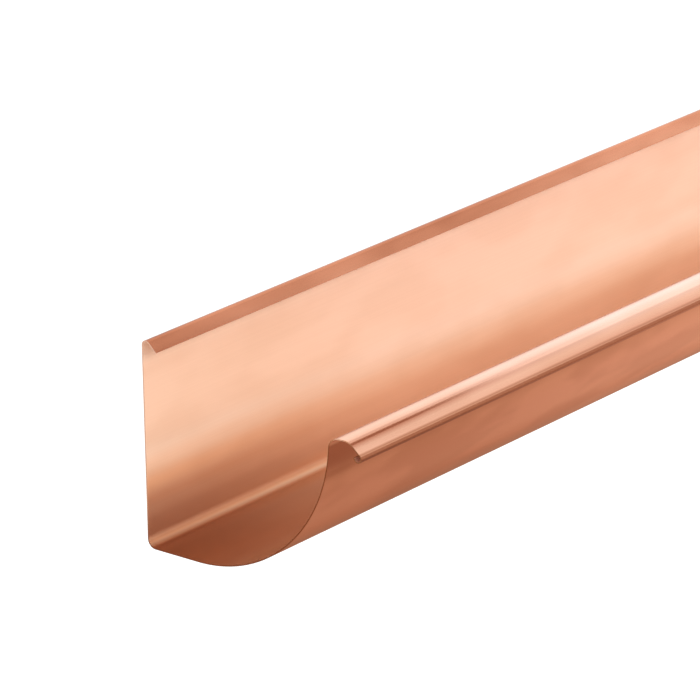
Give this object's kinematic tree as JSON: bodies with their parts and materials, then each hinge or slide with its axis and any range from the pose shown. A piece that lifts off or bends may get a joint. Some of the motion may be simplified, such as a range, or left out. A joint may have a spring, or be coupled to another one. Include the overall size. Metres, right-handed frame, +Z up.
{
  "type": "half round gutter",
  "caption": "Half round copper roof gutter with a flat back wall, a folded lip along its top edge and an outward bead with a small curl along its front edge.",
  "frame": {"origin": "middle of the flat back face that goes against the fascia board", "axes": "+X along the gutter, +Y out of the back face towards the fascia, +Z up; the bead is on the -Y side"},
  "size_m": [1, 0.148, 0.1185],
  "materials": {
    "copper": "mill-finished bright copper sheet, satin, with fine rolling lines along the length"
  },
  "bodies": {
    "root": {"gutter": "copper"}
  },
  "joints": []
}
